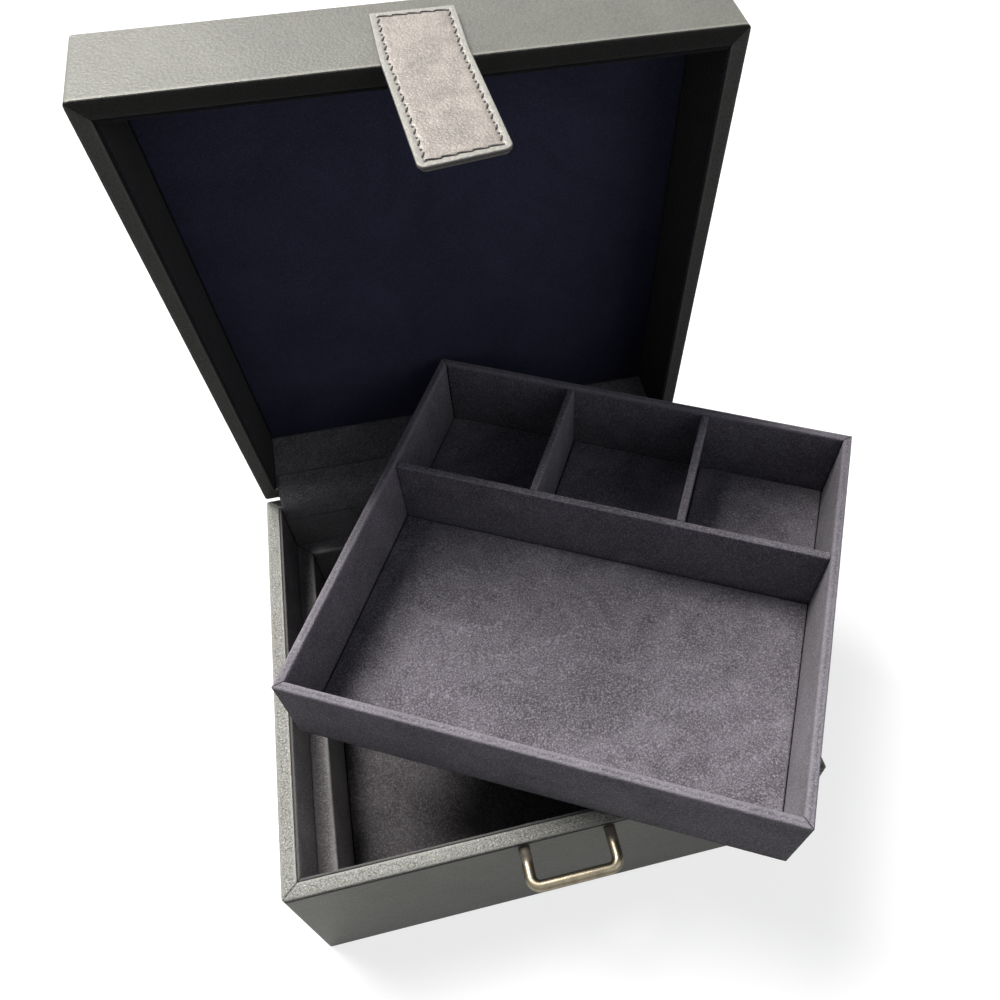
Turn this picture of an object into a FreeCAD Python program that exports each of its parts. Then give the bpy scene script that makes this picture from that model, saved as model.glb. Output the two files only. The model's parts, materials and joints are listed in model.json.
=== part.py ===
"""Leather-covered jewellery box: hinged lid with a closing strap, brass staple and a lift-out tray.

Millimetres.  +X right, +Y back, +Z up, origin at the middle of the case's underside.
Every piece is built square to the case, with the lid shut and the tray upright, and is then moved
to its resting pose: the lid back on its stop, the tray lying across the rim.
"""
import FreeCAD, Part
import math
import os

Vector = FreeCAD.Vector
X_AXIS = Vector(1, 0, 0)
Y_AXIS = Vector(0, 1, 0)
Z_AXIS = Vector(0, 0, 1)
SIDES = ("front", "back", "left", "right")

# ---- driving dimensions: case ------------------------------------------------------------------
case_width = 210.0
case_depth = 197.0
case_height = 71.0
wall_board = 4.8
leather = 1.0
lining = 1.2
corner_radius = 1.5
base_board = 4.0
base_sheet = 1.2
foot_step = 0.3            # the leather stops this far above the table
turned_margin = 12.0       # leather turned under the base
sheet_gap = 0.4            # round the base sheet
floor_pad = 2.5
pad_gap = 0.5              # round every loose pad
lining_lip = 0.2           # the lining stops this far under the rim's top

# ---- driving dimensions: ledge that carries the tray -------------------------------------------
ledge_height = 43.0
ledge_width = 8.0

# ---- driving dimensions: lid --------------------------------------------------------------------
lid_inner_depth = 31.2
lid_panel = 2.0
lid_board = 3.0
lid_gap = 0.4              # between the two rims when shut
lid_open_angle = 82.7

# ---- driving dimensions: hinges -----------------------------------------------------------------
hinge_spacing = 90.0       # centre to centre
hinge_length = 32.0
hinge_setback = 0.6        # pin centre behind the back face
knuckle_count = 5
knuckle_radius = 1.7
knuckle_gap = 0.2
pin_radius = 0.8
running_clearance = 0.05
barrel_clearance = 0.3
leaf_thickness = 1.0
leaf_inset = 0.6           # leaf's far edge in front of the board's inner face
screw_radius = 0.8
screw_head_radius = 1.5
screw_head_height = 0.7
screw_length = 8.0
screw_spacing = 20.0

# ---- driving dimensions: suede gusset that covers the hinges inside ------------------------------
gusset = 0.5               # thickness
gusset_band = 8.0          # height glued to each lining
gusset_end_gap = 1.0       # to the side linings

# ---- driving dimensions: staple on the front -----------------------------------------------------
staple_wire = 4.4
staple_side_clearance = 0.7    # strap edge to leg
staple_reach = 15.3            # wire centre in front of the case
staple_drop = 5.0              # wire centre under the rim
staple_bend_radius = 3.8
stud_radius = 1.5
stud_clearance = 0.1
washer_radius = 3.0
washer_thickness = 0.5
nut_across_flats = 5.5
nut_thickness = 2.0
nut_pocket_clearance = 0.4

# ---- driving dimensions: closing strap -----------------------------------------------------------
strap_width = 27.4
strap_length = 51.5        # from the lid's rim to the tip
strap_outer = 1.3
strap_backing = 0.8
strap_clearance = 0.3      # strap to the case's front
strap_flex_gap = 1.2       # bending zone at the lid's rim
strap_anchor_length = 26.0
strap_tip_radius = 2.5

# ---- driving dimensions: tray --------------------------------------------------------------------
tray_clearance = 0.8       # to the lining, all round
tray_height = 39.3
tray_wall = 3.7
tray_base = 2.4
tray_sheet = 0.8
divider_thickness = 3.4
divider_drop = 0.8         # dividers stop this far under the walls' top
small_cell_depth = 62.9
tray_pad = 2.0
wall_round = 0.7
tray_turn = -29.0          # how the tray lies across the rim, seen from above
tray_shift_x = 34.5
tray_shift_y = -1.8
rest_clearance = 0.3

# ---- derived sizes -------------------------------------------------------------------------------
half_width = case_width / 2
half_depth = case_depth / 2
rim_width = leather + wall_board
wall_total = rim_width + lining
inner_width = case_width - 2 * wall_total
inner_depth = case_depth - 2 * wall_total
board_bottom = base_sheet
board_top = case_height - leather
floor_z = board_bottom + base_board
lid_bottom = case_height + lid_gap
lid_rim_top = lid_bottom + leather
lid_lining_z = lid_bottom + lid_inner_depth
lid_panel_top = lid_lining_z + lid_panel
lid_board_top = lid_panel_top + lid_board
lid_top = lid_board_top + leather
hinge_y = half_depth + hinge_setback
hinge_z = case_height + lid_gap / 2
hinge_centres = (-hinge_spacing / 2, hinge_spacing / 2)
strap_total = strap_clearance + strap_backing + strap_outer
strap_front = -half_depth - strap_total
strap_back = -half_depth - strap_clearance
flex_z = lid_bottom - strap_flex_gap / 2
staple_z = case_height - staple_drop
staple_half_span = strap_width / 2 + staple_side_clearance + staple_wire / 2
tray_width = inner_width - 2 * tray_clearance
tray_depth = inner_depth - 2 * tray_clearance
tray_floor = tray_sheet + tray_base
tray_inner_width = tray_width - 2 * tray_wall
tray_back_inner = tray_depth / 2 - tray_wall
long_divider_back = tray_back_inner - small_cell_depth
long_divider_front = long_divider_back - divider_thickness
gusset_half = inner_width / 2 - gusset_end_gap
small_cell_width = (tray_inner_width - 2 * divider_thickness) / 3
short_divider_x = small_cell_width / 2 + divider_thickness / 2
divider_top = tray_height - divider_drop


# ---- shape helpers -------------------------------------------------------------------------------
def block(x0, x1, y0, y1, z0, z1):
    """Box between two corners."""
    return Part.makeBox(x1 - x0, y1 - y0, z1 - z0, Vector(x0, y0, z0))


def centred_block(width, depth, z0, z1):
    """Box centred on the Z axis."""
    return block(-width / 2, width / 2, -depth / 2, depth / 2, z0, z1)


def rounded_block(width, depth, z0, z1, radius):
    """Centred box with its four upright edges rounded."""
    solid = centred_block(width, depth, z0, z1)
    upright = [edge for edge in solid.Edges if abs(edge.tangentAt(0).z) > 0.9]
    return solid.makeFillet(radius, upright)


def prism(points, z0, z1):
    """Upright prism on a plan outline."""
    corners = [Vector(x, y, z0) for x, y in points]
    face = Part.Face(Part.makePolygon(corners + corners[:1]))
    return face.extrude(Vector(0, 0, z1 - z0))


def frame_side(side, width, depth, thickness, z0, z1):
    """One mitred side of a rectangular frame with the given outer size."""
    x1, y1 = width / 2, depth / 2
    x0, y0 = x1 - thickness, y1 - thickness
    outlines = {
        "front": [(-x1, -y1), (x1, -y1), (x0, -y0), (-x0, -y0)],
        "back": [(-x0, y0), (x0, y0), (x1, y1), (-x1, y1)],
        "left": [(-x1, -y1), (-x0, -y0), (-x0, y0), (-x1, y1)],
        "right": [(x1, -y1), (x1, y1), (x0, y0), (x0, -y0)],
    }
    return prism(outlines[side], z0, z1)


def butt_board(side, width, depth, thickness, z0, z1):
    """One side of a butt-jointed frame: front and back run the full width."""
    x1, y1 = width / 2, depth / 2
    x0, y0 = x1 - thickness, y1 - thickness
    return {
        "front": block(-x1, x1, -y1, -y0, z0, z1),
        "back": block(-x1, x1, y0, y1, z0, z1),
        "left": block(-x1, -x0, -y0, y0, z0, z1),
        "right": block(x0, x1, -y0, y0, z0, z1),
    }[side]


def rod(radius, start, length, axis):
    """Round bar from a start point along an axis."""
    return Part.makeCylinder(radius, length, start, axis)


def round_top(solid, radius, z_top):
    """Round the long top edges of a wall."""
    lines = [e for e in solid.Edges if e.BoundBox.ZMin > z_top - 0.01 and e.Length > 12 * radius]
    return solid.makeFillet(radius, lines)


# ---- resting poses -------------------------------------------------------------------------------
def lid_pose():
    """The shut lid turned back about the hinge pins."""
    pivot = Vector(0, hinge_y, hinge_z)
    return FreeCAD.Placement(Vector(), FreeCAD.Rotation(X_AXIS, -lid_open_angle), pivot)


def tray_pose():
    """The tray turned across the rim, one corner raised on the lid's back wall."""
    turn = FreeCAD.Rotation(Z_AXIS, tray_turn)
    corner = turn.multVec(Vector(-tray_width / 2, tray_depth / 2, 0))
    corner_y = corner.y + tray_shift_y
    wall_inside = lid_pose().multVec(Vector(0, half_depth - wall_total, lid_bottom))
    rise_per_y = 1 / math.tan(math.radians(lid_open_angle))
    support_z = wall_inside.z + (corner_y - wall_inside.y) * rise_per_y
    slope = (support_z - case_height) / (corner_y + half_depth)
    tilt = FreeCAD.Rotation(X_AXIS, math.degrees(math.atan(slope)))
    centre_z = case_height + rest_clearance + slope * (tray_shift_y + half_depth)
    return FreeCAD.Placement(Vector(tray_shift_x, tray_shift_y, centre_z), tilt.multiply(turn))


def save(node, shape, pose=None):
    """Write one sub-part in its resting pose."""
    placed = shape.transformed(pose.toMatrix(), True) if pose else shape
    placed.exportStep("parts/" + node + ".step")


# ---- hinges --------------------------------------------------------------------------------------
def barrel_space():
    """Room for both hinge barrels in the edges of the case and the lid."""
    radius = knuckle_radius + barrel_clearance
    length = hinge_length + 2 * barrel_clearance
    spaces = [rod(radius, Vector(x - length / 2, hinge_y, hinge_z), length, X_AXIS) for x in hinge_centres]
    return spaces[0].fuse(spaces[1])


def knuckles(centre_x, first, radius, gap):
    """Every second knuckle of one hinge, from the given one on."""
    pitch = hinge_length / knuckle_count
    start = centre_x - hinge_length / 2
    found = []
    for index in range(first, knuckle_count, 2):
        corner = Vector(start + index * pitch + gap / 2, hinge_y, hinge_z)
        found.append(rod(radius, corner, pitch - gap, X_AXIS))
    return found


def leaf_plate(centre_x, z0):
    """Flat part of a hinge leaf, let into the board's edge."""
    x0 = centre_x - hinge_length / 2
    y0 = half_depth - rim_width + leaf_inset
    return block(x0, x0 + hinge_length, y0, hinge_y, z0, z0 + leaf_thickness)


def screw(x, z, down):
    """Countersunk screw with its head flush at height z."""
    way = Vector(0, 0, -1 if down else 1)
    place = Vector(x, half_depth - leather - wall_board / 2, z)
    head = Part.makeCone(screw_head_radius, screw_radius, screw_head_height, place, way)
    shank = rod(screw_radius, place, screw_length, way)
    return head.fuse(shank).removeSplitter()


def hinge_screws(centre_x, z, down):
    """The two screws of one leaf."""
    return [screw(centre_x + side * screw_spacing / 2, z, down) for side in (-1, 1)]


def hinge_leaf(centre_x, first, z0, screws):
    """Leaf with its own knuckles, clear of the other leaf's knuckles, bored for the pin."""
    leaf = leaf_plate(centre_x, z0)
    other = knuckles(centre_x, 1 - first, knuckle_radius + barrel_clearance, -knuckle_gap)
    for space in other:
        leaf = leaf.cut(space)
    for knuckle in knuckles(centre_x, first, knuckle_radius, knuckle_gap):
        leaf = leaf.fuse(knuckle)
    bore_start = Vector(centre_x - hinge_length, hinge_y, hinge_z)
    leaf = leaf.cut(rod(pin_radius + running_clearance, bore_start, 2 * hinge_length, X_AXIS))
    for item in screws:
        leaf = leaf.cut(item)
    return leaf.removeSplitter()


def hinge_pin(centre_x):
    """Pin through all knuckles."""
    return rod(pin_radius, Vector(centre_x - hinge_length / 2, hinge_y, hinge_z), hinge_length, X_AXIS)


def gusset_glued(z0):
    """Part of the suede gusset that is glued to a back lining; the free fold between the two bends."""
    return block(-gusset_half, gusset_half, inner_depth / 2 - gusset, inner_depth / 2, z0, z0 + gusset_band)


# ---- staple --------------------------------------------------------------------------------------
def quarter_bend(side):
    """Quarter ring of wire between a leg and the bar."""
    centre = Vector(side * (staple_half_span - staple_bend_radius),
                    -half_depth - staple_reach + staple_bend_radius, staple_z)
    start = centre + Vector(side * staple_bend_radius, 0, 0)
    circle = Part.Wire(Part.Circle(start, Y_AXIS, staple_wire / 2).toShape())
    return Part.Face(circle).revolve(centre, Vector(0, 0, -side), 90)


def staple_loop():
    """D-shaped wire loop whose threaded ends go through the front wall."""
    bar_half = staple_half_span - staple_bend_radius
    bar_start = Vector(-bar_half, -half_depth - staple_reach, staple_z)
    loop = rod(staple_wire / 2, bar_start, 2 * bar_half, X_AXIS)
    for side in (-1, 1):
        root = Vector(side * staple_half_span, -half_depth, staple_z)
        leg_length = staple_reach - staple_bend_radius
        loop = loop.fuse(rod(staple_wire / 2, root, leg_length, Vector(0, -1, 0)))
        loop = loop.fuse(quarter_bend(side))
        loop = loop.fuse(rod(stud_radius, root, rim_width, Y_AXIS))
    return loop.removeSplitter()


def staple_washers(pocket_floor):
    """Washers on the floors of the nut pockets."""
    found = []
    for side in (-1, 1):
        place = Vector(side * staple_half_span, pocket_floor, staple_z)
        ring = rod(washer_radius, place, washer_thickness, Y_AXIS)
        found.append(ring.cut(rod(stud_radius + stud_clearance, place, washer_thickness, Y_AXIS)))
    return Part.makeCompound(found)


def staple_nuts(pocket_floor):
    """Hexagon nuts on the washers."""
    found = []
    corner_distance = nut_across_flats / math.sqrt(3)
    for side in (-1, 1):
        place = Vector(side * staple_half_span, pocket_floor + washer_thickness, staple_z)
        corners = []
        for step in range(6):
            angle = math.radians(60 * step)
            reach = Vector(math.cos(angle), 0, math.sin(angle)) * corner_distance
            corners.append(place + reach)
        hexagon = Part.Face(Part.makePolygon(corners + corners[:1]))
        nut = hexagon.extrude(Vector(0, nut_thickness, 0))
        bore = rod(stud_radius + running_clearance, place, nut_thickness, Y_AXIS)
        found.append(nut.cut(bore))
    return Part.makeCompound(found)


# ---- case ----------------------------------------------------------------------------------------
def case_leather():
    """Leather round the four walls, its margin turned under the base."""
    skin = rounded_block(case_width, case_depth, foot_step, board_top, corner_radius)
    board_width, board_depth = case_width - 2 * leather, case_depth - 2 * leather
    skin = skin.cut(centred_block(board_width, board_depth, board_bottom, board_top))
    margin = 2 * turned_margin
    return skin.cut(centred_block(case_width - margin, case_depth - margin, foot_step, board_bottom))


def rim_strip(side, z0, z1):
    """Mitred leather strip on a rim, with the box's rounded corners."""
    strip = frame_side(side, case_width, case_depth, rim_width, z0, z1)
    return strip.common(rounded_block(case_width, case_depth, z0, z1, corner_radius))


def build_case():
    """Everything fixed to the case."""
    barrels = barrel_space()
    leaf_z = board_top - leaf_thickness
    pocket_floor = -half_depth + rim_width - nut_thickness - washer_thickness
    screws = {x: hinge_screws(x, board_top, True) for x in hinge_centres}
    board_width = case_width - 2 * leather
    board_depth = case_depth - 2 * leather
    boards = {}
    for side in SIDES:
        boards[side] = butt_board(side, board_width, board_depth, wall_board, board_bottom, board_top)
    boards["back"] = boards["back"].cut(barrels)
    skin = case_leather().cut(barrels)
    rims = {side: rim_strip(side, board_top, case_height) for side in SIDES}
    rims["back"] = rims["back"].cut(barrels)
    for x in hinge_centres:
        plate = leaf_plate(x, leaf_z)
        boards["back"] = boards["back"].cut(plate)
        skin = skin.cut(plate)
        for item in screws[x]:
            boards["back"] = boards["back"].cut(item)
    for side in (-1, 1):
        root = Vector(side * staple_half_span, -half_depth, staple_z)
        hole = rod(stud_radius + stud_clearance, root, rim_width, Y_AXIS)
        pocket_start = Vector(root.x, pocket_floor, staple_z)
        pocket_radius = washer_radius + nut_pocket_clearance
        pocket = rod(pocket_radius, pocket_start, nut_thickness + washer_thickness, Y_AXIS)
        boards["front"] = boards["front"].cut(hole).cut(pocket)
        skin = skin.cut(hole)
    for side in SIDES:
        save("case_" + side + "_board", boards[side])
        save("case_" + side + "_rim", rims[side])
        frame_width, frame_depth = case_width - 2 * rim_width, case_depth - 2 * rim_width
        top = case_height - lining_lip
        facing = frame_side(side, frame_width, frame_depth, lining, floor_z, top)
        save("case_" + side + "_lining", facing)
        ledge = frame_side(side, inner_width, inner_depth, ledge_width, floor_z, ledge_height)
        save("ledge_" + side, ledge)
    save("case_base_board", centred_block(board_width - 2 * wall_board, board_depth - 2 * wall_board,
                                          board_bottom, floor_z))
    save("case_leather", skin)
    sheet_inset = 2 * (turned_margin + sheet_gap)
    save("case_base_sheet", centred_block(case_width - sheet_inset, case_depth - sheet_inset,
                                          0, base_sheet))
    pad_inset = 2 * (ledge_width + pad_gap)
    save("case_floor_pad", centred_block(inner_width - pad_inset, inner_depth - pad_inset,
                                         floor_z, floor_z + floor_pad))
    save("staple", staple_loop())
    save("staple_washers", staple_washers(pocket_floor))
    save("staple_nuts", staple_nuts(pocket_floor))
    leaves = [hinge_leaf(x, 0, leaf_z, screws[x]) for x in hinge_centres]
    save("hinge_case_leaves", Part.makeCompound(leaves))
    save("hinge_pins", Part.makeCompound([hinge_pin(x) for x in hinge_centres]))
    save("hinge_case_screws", Part.makeCompound([item for x in hinge_centres for item in screws[x]]))
    save("gusset_case_band", gusset_glued(case_height - lining_lip - gusset_band))


# ---- lid -----------------------------------------------------------------------------------------
def lid_leather():
    """Leather over the top and the four walls of the lid."""
    skin = rounded_block(case_width, case_depth, lid_rim_top, lid_top, corner_radius)
    upper = [edge for edge in skin.Edges if edge.BoundBox.ZMin > lid_top - 0.01]
    skin = skin.makeFillet(leather * 0.9, upper)
    board_width, board_depth = case_width - 2 * leather, case_depth - 2 * leather
    return skin.cut(centred_block(board_width, board_depth, lid_rim_top, lid_board_top))


def build_lid():
    """Everything fixed to the lid."""
    pose = lid_pose()
    barrels = barrel_space()
    screws = {x: hinge_screws(x, lid_rim_top, False) for x in hinge_centres}
    board_width = case_width - 2 * leather
    board_depth = case_depth - 2 * leather
    boards = {}
    for side in SIDES:
        boards[side] = butt_board(side, board_width, board_depth, wall_board, lid_rim_top, lid_panel_top)
    boards["back"] = boards["back"].cut(barrels)
    skin = lid_leather().cut(barrels)
    rims = {side: rim_strip(side, lid_bottom, lid_rim_top) for side in SIDES}
    rims["back"] = rims["back"].cut(barrels)
    for x in hinge_centres:
        plate = leaf_plate(x, lid_rim_top)
        boards["back"] = boards["back"].cut(plate)
        skin = skin.cut(plate)
        for item in screws[x]:
            boards["back"] = boards["back"].cut(item)
    for side in SIDES:
        save("lid_" + side + "_board", boards[side], pose)
        save("lid_" + side + "_rim", rims[side], pose)
        frame_width, frame_depth = case_width - 2 * rim_width, case_depth - 2 * rim_width
        facing = frame_side(side, frame_width, frame_depth, lining, lid_bottom + lining_lip, lid_panel_top)
        save("lid_" + side + "_lining", facing, pose)
    save("lid_top_board", centred_block(board_width, board_depth, lid_panel_top, lid_board_top), pose)
    save("lid_leather", skin, pose)
    panel_inset = 2 * pad_gap
    save("lid_panel", centred_block(inner_width - panel_inset, inner_depth - panel_inset,
                                    lid_lining_z, lid_panel_top), pose)
    leaves = [hinge_leaf(x, 1, lid_rim_top, screws[x]) for x in hinge_centres]
    save("hinge_lid_leaves", Part.makeCompound(leaves), pose)
    save("hinge_lid_screws", Part.makeCompound([item for x in hinge_centres for item in screws[x]]), pose)
    save("gusset_lid_band", gusset_glued(lid_bottom + lining_lip), pose)
    anchor_z = flex_z + strap_flex_gap / 2
    anchor = block(-strap_width / 2, strap_width / 2, strap_front, -half_depth,
                   anchor_z, anchor_z + strap_anchor_length)
    save("strap_anchor", anchor, pose)


# ---- closing strap -------------------------------------------------------------------------------
def strap_layer(y0, y1):
    """One layer of the free strap, with rounded corners at its tip."""
    tip_z = lid_bottom - strap_length
    layer = block(-strap_width / 2, strap_width / 2, y0, y1, tip_z, flex_z - strap_flex_gap / 2)
    corners = [e for e in layer.Edges if e.BoundBox.ZMax < tip_z + 0.01 and abs(e.tangentAt(0).y) > 0.9]
    return layer.makeFillet(strap_tip_radius, corners)


def build_strap():
    """The free part of the strap."""
    pose = lid_pose()
    seam_y = strap_back - strap_backing
    save("strap_outer_leather", strap_layer(strap_front, seam_y), pose)
    save("strap_backing", strap_layer(seam_y, strap_back), pose)


# ---- tray ----------------------------------------------------------------------------------------
def build_tray():
    """The lift-out tray."""
    pose = tray_pose()
    for side in SIDES:
        wall = frame_side(side, tray_width, tray_depth, tray_wall, 0, tray_height)
        save("tray_" + side + "_wall", round_top(wall, wall_round, tray_height), pose)
    core_width = tray_width - 2 * tray_wall
    core_depth = tray_depth - 2 * tray_wall
    save("tray_base_sheet", centred_block(core_width, core_depth, 0, tray_sheet), pose)
    save("tray_base", centred_block(core_width, core_depth, tray_sheet, tray_floor), pose)
    long_wall = block(-core_width / 2, core_width / 2, long_divider_front, long_divider_back,
                      tray_floor, divider_top)
    save("tray_long_divider", round_top(long_wall, wall_round, divider_top), pose)
    for name, x in (("left", -short_divider_x), ("right", short_divider_x)):
        short_wall = block(x - divider_thickness / 2, x + divider_thickness / 2,
                           long_divider_back, tray_back_inner, tray_floor, divider_top)
        save("tray_" + name + "_divider", round_top(short_wall, wall_round, divider_top), pose)
    pad_top = tray_floor + tray_pad
    save("tray_large_pad", block(-core_width / 2 + pad_gap, core_width / 2 - pad_gap,
                                 -tray_back_inner + pad_gap, long_divider_front - pad_gap,
                                 tray_floor, pad_top), pose)
    small_pads = []
    for step in (-1, 0, 1):
        x = step * (small_cell_width + divider_thickness)
        half = small_cell_width / 2 - pad_gap
        small_pads.append(block(x - half, x + half, long_divider_back + pad_gap, tray_back_inner - pad_gap,
                                tray_floor, pad_top))
    save("tray_small_pads", Part.makeCompound(small_pads), pose)


def main():
    """Build the whole box."""
    os.makedirs("parts", exist_ok=True)
    build_case()
    build_lid()
    build_strap()
    build_tray()


main()
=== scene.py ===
"""Looks of a leather-covered box: hinged lid with a stitched strap, brass staple and lift-out tray."""
import json
import math

import bmesh
import bpy
from mathutils import Matrix, Vector, noise
from mathutils.geometry import interpolate_bezier


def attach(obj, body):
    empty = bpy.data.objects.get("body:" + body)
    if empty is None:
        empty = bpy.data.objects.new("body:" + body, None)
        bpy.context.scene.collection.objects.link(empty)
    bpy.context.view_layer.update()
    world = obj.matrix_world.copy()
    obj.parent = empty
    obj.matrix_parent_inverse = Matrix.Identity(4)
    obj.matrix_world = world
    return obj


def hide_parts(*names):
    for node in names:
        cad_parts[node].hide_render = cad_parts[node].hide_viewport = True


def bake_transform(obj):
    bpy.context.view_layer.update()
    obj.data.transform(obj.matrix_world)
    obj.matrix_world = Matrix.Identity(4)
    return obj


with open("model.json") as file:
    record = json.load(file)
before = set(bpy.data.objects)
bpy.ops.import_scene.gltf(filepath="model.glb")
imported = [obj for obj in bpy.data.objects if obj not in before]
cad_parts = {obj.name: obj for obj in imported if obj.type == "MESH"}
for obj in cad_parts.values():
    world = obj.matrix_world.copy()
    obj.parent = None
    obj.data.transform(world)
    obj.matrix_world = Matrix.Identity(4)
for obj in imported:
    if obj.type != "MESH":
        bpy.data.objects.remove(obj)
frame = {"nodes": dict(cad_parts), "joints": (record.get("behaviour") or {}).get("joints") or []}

bl_info = {
    "name": "Jewellery Box",
    "version": (1, 0, 0),
    "blender": (4, 5, 0),
    "location": "3D View > Sidebar > Jewellery Box",
    "description": "Dresses the jewellery box: leather, suede, stitching, brass and the studio round it",
    "category": "Object",
}

MM = 0.001
SIDES = ("front", "back", "left", "right")

# How finely the coverings are divided.
RIM_MESH = 0.9 * MM
LINING_MESH = 1.6 * MM
WALL_MESH = 1.1 * MM
FLOOR_PAD_MESH = 1.8 * MM
TRAY_PAD_MESH = 1.3 * MM

# Widths of the marks that rub the coverings and that darken them as painted shade, depths of their grooves,
# and the staple.
LIP_SHADE_WIDTH = 0.45 * MM
EDGE_SHADE_WIDTH = 1.7 * MM
FOOT_SHADE_WIDTH = 0.4 * MM
WORN_CORNER = 1.5 * MM
GROOVE_WIDTH = 1.0 * MM
GROOVE_DEPTH = 0.65 * MM
GROOVE_LIMIT = 0.92 * MM
STAPLE_BEND = 3.8 * MM
STAPLE_SUNK = 0.6 * MM
CRUST_END = 6.5 * MM
HOLE_RADIUS = 0.5 * MM

# Fixed colours.
# The seam colour serves dark joints at the mitres and painted shade at feet, under rims and on the strap's
# sides.
SEAM_AND_SHADE_DARKNESS = 0.94
SEAM_AND_SHADE_COLOUR = (0.006, 0.006, 0.006)
WHITE = (1.0, 1.0, 1.0)
BLACK = (0.0, 0.0, 0.0)
HOLE_SHADE_COLOUR = (0.008, 0.008, 0.008)
PAPER_COLOUR = (0.03, 0.028, 0.03)
STUDIO_GREY = (0.30, 0.30, 0.30)
SKY_GREY = (0.112, 0.121, 0.139)

# Studio; the camera's angles are its azimuth, elevation and roll in degrees.
FLOOR_REACH = 6.0
FLOOR_DROP = 0.2 * MM
LAMP_AIM = Vector((0.02, 0.0, 0.1))
CAMERA_PLACE = (-0.023851, -0.197745, 0.369829)
CAMERA_ANGLES = (12.778, 53.52, -1.142)
CAMERA_LENS = 28.979
CAMERA_SHIFT = (-0.0581, 0.0768)
CAMERA_CLIP = 0.01
SENSOR_WIDTH = 36.0

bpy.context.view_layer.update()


# ---- where things are ----------------------------------------------------------------------------
def joint(name):
    """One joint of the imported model."""
    return next(item for item in frame["joints"] if item["name"] == name)


def shut_lid_place():
    """Turns a point of the shut lid to where the resting lid has it."""
    hinge = joint("lid_hinge")
    pivot = Matrix.Translation(Vector(hinge["pos_m"]))
    return pivot @ Matrix.Rotation(-math.radians(hinge["range_deg"][1]), 4, "X") @ pivot.inverted()


def block_place(node):
    """Place of a turned block: X and Z along its own edges, origin in its middle."""
    mesh = frame["nodes"][node].data
    normals = [face.normal for face in mesh.polygons]
    up = max(normals, key=lambda n: n.z).normalized()
    across = max(normals, key=lambda n: n.x).normalized()
    middle = sum((v.co for v in mesh.vertices), Vector()) / len(mesh.vertices)
    turned = Matrix((across, up.cross(across), up)).transposed().to_4x4()
    return Matrix.Translation(middle) @ turned


CASE = Matrix.Identity(4)
LID = shut_lid_place()
TRAY = block_place("tray_base_sheet")
PLACES = {"case": CASE, "lid": LID, "tray": TRAY}


def local_box(node, place):
    """Lowest and highest corner of a CAD node in a piece's own place."""
    inverse = place.inverted()
    points = [inverse @ v.co for v in frame["nodes"][node].data.vertices]
    low = Vector([min(p[axis] for p in points) for axis in range(3)])
    high = Vector([max(p[axis] for p in points) for axis in range(3)])
    return low, high


# ---- sizes and colours that a user may change ----------------------------------------------------
def length_property(name, description, millimetres):
    """A length, given in millimetres."""
    return bpy.props.FloatProperty(name=name, description=description, default=millimetres * MM,
                                   min=0.0, precision=5, unit="LENGTH")


def colour_property(name, description, colour):
    """A linear colour."""
    return bpy.props.FloatVectorProperty(name=name, description=description, default=colour,
                                         subtype="COLOR", size=3, min=0.0, max=1.0)


class JewelleryBoxSizes(bpy.types.PropertyGroup):
    """Sizes of the finish"""
    rim_round: length_property("Rim rounding", "Rounding of the leather strips on the rims", 0.42)
    lining_round: length_property("Lining rounding", "Rounding of the suede linings' edges", 0.35)
    wall_round: length_property("Tray wall rounding", "Rounding of the tray walls' edges", 0.95)
    seam: length_property("Seam", "Depth of the seams at the mitres", 0.3)
    nap_relief: length_property("Nap relief", "Unevenness of the suede surfaces", 0.09)
    pad_crown: length_property("Pad crown", "How much the pads rise in their middle", 0.35)
    pad_round: length_property("Pad rounding", "Rounding of the pads' edges", 1.1)
    stitch_inset: length_property("Stitch inset", "Distance from the strap's edge to its stitching", 2.55)
    stitch_pitch: length_property("Stitch pitch", "Distance between two stitch holes", 5.2)
    thread_width: length_property("Thread width", "Width of the strap's thread", 0.72)
    tip_skew: length_property("Tip skew", "How much longer the strap is cut on its left side", 2.2)
    gusset_swell: length_property("Gusset swell", "How far the suede over the hinges swells inwards", 4.6)
    strap_turn: bpy.props.FloatProperty(
        name="Strap turn", description="How far the free strap has crept round sideways",
        default=math.radians(3.4), subtype="ANGLE", unit="ROTATION")


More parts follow.
